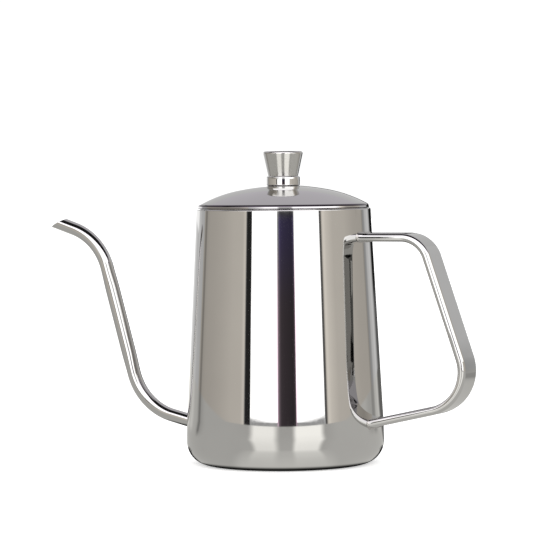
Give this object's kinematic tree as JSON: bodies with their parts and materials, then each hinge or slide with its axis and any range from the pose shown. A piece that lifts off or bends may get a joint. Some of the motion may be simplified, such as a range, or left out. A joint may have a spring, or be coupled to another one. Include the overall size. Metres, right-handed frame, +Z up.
{
  "type": "gooseneck kettle",
  "caption": "Polished steel pour-over kettle with a slim gooseneck spout, a flat strap loop handle and a lift-off domed lid with a flared knob.",
  "frame": {"origin": "on the body's axis, in the plane that the kettle stands on", "axes": "+Z up along the body's axis, +X towards the handle, the spout towards -X, +Y completes the right-handed frame"},
  "size_m": [0.2239, 0.0958, 0.1515],
  "materials": {
    "polished_steel": "mirror polished stainless steel",
    "handle_steel": "polished stainless steel strap",
    "weld_steel": "ground and polished weld",
    "inner_steel": "satin stainless steel",
    "brushed_knob_steel": "turned satin stainless steel",
    "fastener_steel": "plain stainless steel"
  },
  "bodies": {
    "kettle": {"body_shell": "polished_steel", "spout_tube": "polished_steel", "spout_weld": "weld_steel", "handle_strap": "handle_steel", "handle_weld_upper": "weld_steel", "handle_weld_lower": "weld_steel"},
    "lid": {"lid_dome": "polished_steel", "lid_skirt": "inner_steel", "knob_collar": "polished_steel", "knob_grip": "brushed_knob_steel", "knob_washer": "fastener_steel", "knob_spring_washer": "fastener_steel", "knob_screw": "fastener_steel"}
  },
  "joints": [
    {"name": "lid_lift", "type": "slide", "parent": "kettle", "child": "lid", "axis": [0, 0, 1], "range_m": [0, 0.06]}
  ]
}
